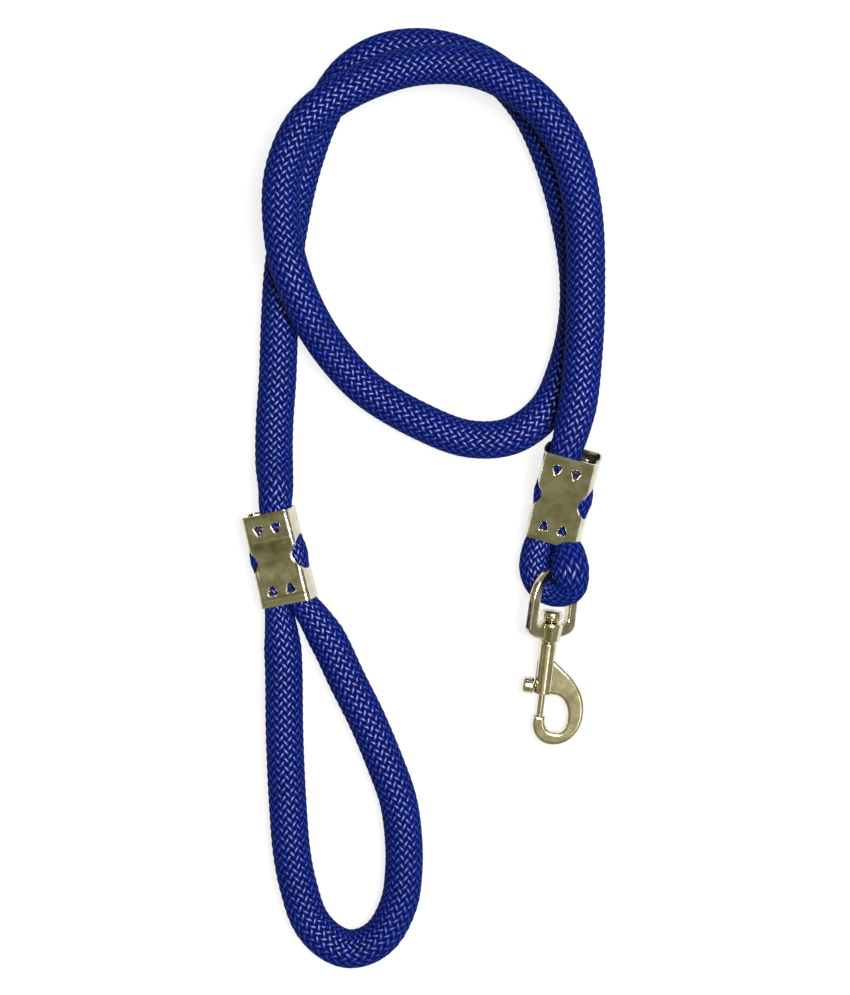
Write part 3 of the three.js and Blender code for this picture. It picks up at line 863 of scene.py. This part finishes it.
# Heights are along the snap's axis, from the bottom of the eye's collar.
BARREL_RADIUS = 4.1
BARREL_BOTTOM = -24.6
BORE_RADIUS = 2.1
BORE_TOP = -4.3
BOLT_RADIUS = 1.75
BOLT_TOP = -17.0
BOLT_TIP = -34.7
BOLT_TRAVEL = 10.5
KNOB_AT = -21.6
KNOB_NECK = 1.4
HOOK_THICKNESS = 5.6
HOOK_TIP = -35.0
HOOK_SEAT = -42.0
POST_RADIUS = 2.6
COLLAR_HEIGHT = 9.0
EYE_THICKNESS = 3.8
FIT = 0.3


def filleted(profile, radius, steps=5):
    """A profile with its inner corners rounded."""
    points = [np.array(p, float) for p in profile]
    out = [points[0]]
    for before, corner, after in zip(points, points[1:], points[2:]):
        back, ahead = before - corner, after - corner
        reach = min(radius, 0.45 * np.linalg.norm(back), 0.45 * np.linalg.norm(ahead))
        start = corner + back / np.linalg.norm(back) * reach
        end = corner + ahead / np.linalg.norm(ahead) * reach
        for t in np.linspace(0, 1, steps + 1):
            out.append((1 - t) ** 2 * start + 2 * (1 - t) * t * corner + t**2 * end)
    out.append(points[-1])
    return out


def turned(name, profile, radius=0.3, segments=72):
    """A solid turned about the y axis, from (radius, y) pairs that start and end on the axis."""
    outline = filleted(profile, radius)
    inner = outline[1:-1]
    turn = 2 * math.pi * np.arange(segments) / segments
    points = [(0.0, outline[0][1], 0.0)]
    for r, y in inner:
        points += [(r * math.cos(a), y, r * math.sin(a)) for a in turn]
    points.append((0.0, outline[-1][1], 0.0))
    faces = []
    for i in range(segments):
        j = (i + 1) % segments
        faces.append((0, 1 + i, 1 + j))
        for k in range(len(inner) - 1):
            low, high = 1 + k * segments, 1 + (k + 1) * segments
            faces.append((low + i, high + i, high + j, low + j))
        last = 1 + (len(inner) - 1) * segments
        faces.append((last + i, len(points) - 1, last + j))
    return add_mesh(name, points, faces)


def plate(name, loops, thickness, bevel):
    """A flat shape in x and y with rounded edges, from closed loops of points."""
    curve = bpy.data.curves.new(name, "CURVE")
    curve.dimensions = "2D"
    curve.fill_mode = "BOTH"
    curve.extrude = thickness / 2 - bevel
    curve.bevel_depth = bevel
    curve.bevel_resolution = 6
    curve.offset = -bevel
    for loop in loops:
        spline = curve.splines.new("POLY")
        spline.points.add(len(loop) - 1)
        spline.points.foreach_set("co", [c for x, y in loop for c in (x, y, 0.0, 1.0)])
        spline.use_cyclic_u = True
    obj = add_object(name, curve)
    graph = bpy.context.evaluated_depsgraph_get()
    mesh = bpy.data.meshes.new_from_object(obj.evaluated_get(graph))
    bpy.data.objects.remove(obj)
    welded = bmesh.new()
    welded.from_mesh(mesh)
    bmesh.ops.remove_doubles(welded, verts=welded.verts, dist=0.001)
    welded.to_mesh(mesh)
    welded.free()
    return add_object(name, mesh)


def drawn(start, *pieces):
    """A closed loop from a start point and lines (x, y) or curves (x1, y1, x2, y2, x, y)."""
    points = [np.array(start, float)]
    for piece in pieces:
        if len(piece) == 2:
            points.append(np.array(piece, float))
        else:
            points += list(bezier(points[-1], piece[0:2], piece[2:4], piece[4:6], 20))
    if np.linalg.norm(points[-1] - points[0]) < 1e-6:
        points.pop()
    return points


def joined(name, parts):
    """One object from several that may overlap."""
    mesh = bmesh.new()
    for part in parts:
        mesh.from_mesh(part.data)
        bpy.data.objects.remove(part)
    made = bpy.data.meshes.new(name)
    mesh.to_mesh(made)
    mesh.free()
    return add_object(name, made)


def cut_away(obj, *cutters):
    """Cuts each of the cutters out of the object, and removes it."""
    for cutter in cutters:
        boolean = obj.modifiers.new("cut", "BOOLEAN")
        boolean.operation = "DIFFERENCE"
        boolean.solver = "EXACT"
        boolean.object = cutter
        bake_modifiers(obj)
        bpy.data.objects.remove(cutter)
    return obj


def cast(obj, voxel=0.16, rounds=7):
    """Fuses overlapping solids into one skin with the soft inner corners of a die casting."""
    remesh = obj.modifiers.new("skin", "REMESH")
    remesh.mode = "VOXEL"
    remesh.voxel_size = voxel
    smooth = obj.modifiers.new("soften", "SMOOTH")
    smooth.factor = 0.5
    smooth.iterations = rounds
    bake_modifiers(obj)
    return shade_smooth(obj)


def swivel_eye():
    """The flat loop that the rope goes through, cast with the collar that holds the post."""
    outer = [
        (4.2, 1.2), (8, 2.2, 14.6, 2.2, 14.6, 7.5), (14.4, 19), (14, 29, 8, 35.6, 0, 35.6),
        (-8, 35.6, -14, 29, -14.4, 19), (-14.6, 7.5), (-14.6, 2.2, -8, 2.2, -4.2, 1.2),
    ]
    floor_of_eye = COLLAR_HEIGHT - 1
    inner = [
        (-7.4, floor_of_eye), (-8.8, 8, -9.7, 9, -9.7, 10.5), (-9.6, 19),
        (-9.4, 27, -5.4, 31.4, 0, 31.4), (5.4, 31.4, 9.4, 27, 9.6, 19), (9.7, 10.5),
        (9.7, 9, 8.8, 8, 7.4, floor_of_eye),
    ]
    loops = [drawn((0, 1.2), *outer), drawn((0, floor_of_eye), *inner)]
    loop = plate("eye_loop", loops, EYE_THICKNESS, 0.9)
    collar = turned("collar", [
        (0, 0), (4.5, 0), (4.9, 0.5), (5.8, COLLAR_HEIGHT - 1.2), (5.5, COLLAR_HEIGHT), (0, COLLAR_HEIGHT),
    ])
    wide = POST_RADIUS + FIT
    bore = turned("bore", [(0, -1), (wide, -1), (wide, COLLAR_HEIGHT + 1), (0, COLLAR_HEIGHT + 1)], 0.01)
    return cut_away(cast(joined("swivel_eye_cast", [loop, collar])), bore)


def swivel_post():
    """The post, with its head spread over inside the eye."""
    head = COLLAR_HEIGHT + FIT
    post = turned("swivel_post_cast", [
        (0, -3.3), (POST_RADIUS, -3.3), (POST_RADIUS, head), (3.6, head), (3.9, head + 1.2),
        (4.9, head + 2), (4.9, head + 4), (4.4, head + 5), (0, head + 5.6),
    ], 0.7)
    return shade_smooth(post)


def snap_body():
    """The barrel and the hook in one casting, bored for the bolt and slotted for its knob."""
    barrel = turned("barrel", [
        (0, BARREL_BOTTOM), (BARREL_RADIUS, BARREL_BOTTOM), (BARREL_RADIUS, -1.2),
        (BARREL_RADIUS - 0.5, -FIT), (0, -FIT),
    ])
    blade = plate("blade", [drawn(
        (0, -8), (3.6, -8), (7, -12, 19, -17, 20, -30.5), (20.8, -41, 14.5, -48.2, 6.5, -48.2),
        (0.3, -48.2, -2.9, -43, -2.9, -38), (-2.6, HOOK_TIP), (2.6, HOOK_TIP),
        (2.4, -39.3, 4.4, HOOK_SEAT, 6.6, HOOK_SEAT), (9.2, HOOK_SEAT),
        (11.6, HOOK_SEAT, 12.9, -38.8, 12.9, -34.8), (12.9, -29, 10, BARREL_BOTTOM, 5.5, BARREL_BOTTOM),
        (0, BARREL_BOTTOM),
    )], HOOK_THICKNESS, 1.5)
    body = cast(joined("snap_body_cast", [barrel, blade]))
    bore = turned("bore", [
        (0, BARREL_BOTTOM - 1), (BORE_RADIUS, BARREL_BOTTOM - 1), (BORE_RADIUS, BORE_TOP), (0, BORE_TOP),
    ], 0.01)
    wide = POST_RADIUS + FIT
    socket = turned("socket", [(0, -3.6), (wide, -3.6), (wide, 1), (0, 1)], 0.01)
    half = KNOB_NECK + FIT
    low, high = KNOB_AT - half, KNOB_AT + BOLT_TRAVEL + half
    slot = plate("slot", [[(-6, low), (0, low), (0, high), (-6, high)]], 2 * half, 0.2)
    return cut_away(body, bore, socket, slot)


def bolt_pin():
    return shade_smooth(turned("bolt_pin", [
        (0, BOLT_TIP), (BOLT_RADIUS, BOLT_TIP), (BOLT_RADIUS, BOLT_TOP), (0, BOLT_TOP),
    ], 0.35))


def thumb_knob():
    """A neck in the barrel's slot and a stout round head on its left side."""
    knob = turned("thumb_knob_cast", [
        (0, BOLT_RADIUS + FIT), (KNOB_NECK, BOLT_RADIUS + FIT), (KNOB_NECK, 4.4), (3.8, 4.4),
        (4, 6.6), (3.9, 8.8), (3.1, 9.6), (0, 9.7),
    ], 0.8)
    knob.data.transform(Matrix.Translation((0, KNOB_AT, 0)) @ Matrix.Rotation(math.pi / 2, 4, "Z"))
    return shade_smooth(knob)


def bolt_spring(turns=4.5, steps=180, sides=10):
    """The return spring in the bore, resting on the bolt."""
    wire, radius = 0.22, 1.4
    end = FIT + wire
    low, high = BOLT_TOP + end, BORE_TOP - end
    points, faces = [], []
    for k in range(steps + 1):
        turn = 2 * math.pi * turns * k / steps
        y = low + (high - low) * k / steps
        for i in range(sides):
            a = 2 * math.pi * i / sides
            r = radius + wire * math.cos(a)
            points.append((r * math.cos(turn), y + wire * math.sin(a), r * math.sin(turn)))
    for k in range(steps):
        for i in range(sides):
            j = (i + 1) % sides
            faces.append((k * sides + i, (k + 1) * sides + i, (k + 1) * sides + j, k * sides + j))
    faces.append(tuple(range(sides)))
    faces.append(tuple(reversed(range(steps * sides, (steps + 1) * sides))))
    return shade_smooth(add_mesh("bolt_spring_coil", points, faces))


def make_snap(nickel, steel):
    """The snap's six pieces in place. The eye is turned on the swivel."""
    place = snap_frame @ Matrix.Scale(MM, 4)
    turned_eye = place @ Matrix.Rotation(math.radians(EYE_TURN), 4, "Y")
    put_in_place(swivel_eye(), turned_eye, "eye", "snap_metal", nickel, "swivel_eye")
    put_in_place(swivel_post(), place, "hook", "snap_metal", nickel, "swivel_post")
    put_in_place(snap_body(), place, "hook", "snap_metal", nickel, "snap_body")
    put_in_place(bolt_pin(), place, "bolt", "snap_metal", nickel, "snap_bolt")
    put_in_place(thumb_knob(), place, "bolt", "snap_metal", nickel, "thumb_knob")
    spring = put_in_place(bolt_spring(), place, "hook", "spring_wire", steel, "bolt_spring")
    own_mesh(spring)


# ---- The scene ----

bpy.context.scene.view_settings.view_transform = "Standard"
make_camera()
make_world()
make_lights()
make_floor()

rope_line = RopeLine()
rope = make_rope(rope_line, braid_look())
plated_sheet = plated_look(
    "plated_sheet", (0.66, 0.64, 0.52), (0.5, 0.47, 0.34), (0.12, 0.26), (300, 4000, 300),
)
warm_nickel = plated_look(
    "warm_nickel", (0.74, 0.69, 0.52), (0.6, 0.54, 0.37), (0.1, 0.2), (2500, 500, 2500),
)
spring_steel = plated_look(
    "spring_steel", (0.52, 0.53, 0.55), (0.42, 0.43, 0.45), (0.2, 0.32), (900, 900, 900),
)
# The faces' dishing and creases: how far up each is, how wide and how deep.
handle_dents = [
    (-0.004, 0.0035, 0.0005), (0.002, 0.0045, 0.0004), (0.0085, 0.0006, -0.0001),
    (-0.0178, 0.0006, 0.00014),
]
snap_dents = [(0.001, 0.009, 0.00012)]
handle_ferrule = make_ferrule(
    "handle_ferrule_sheet", "handle_ferrule", handle_frame, 0.07, handle_dents, plated_sheet,
)
snap_ferrule = make_ferrule(
    "snap_ferrule_sheet", "snap_ferrule", snap_ferrule_frame, 0.0, snap_dents, plated_sheet,
)
make_snap(warm_nickel, spring_steel)
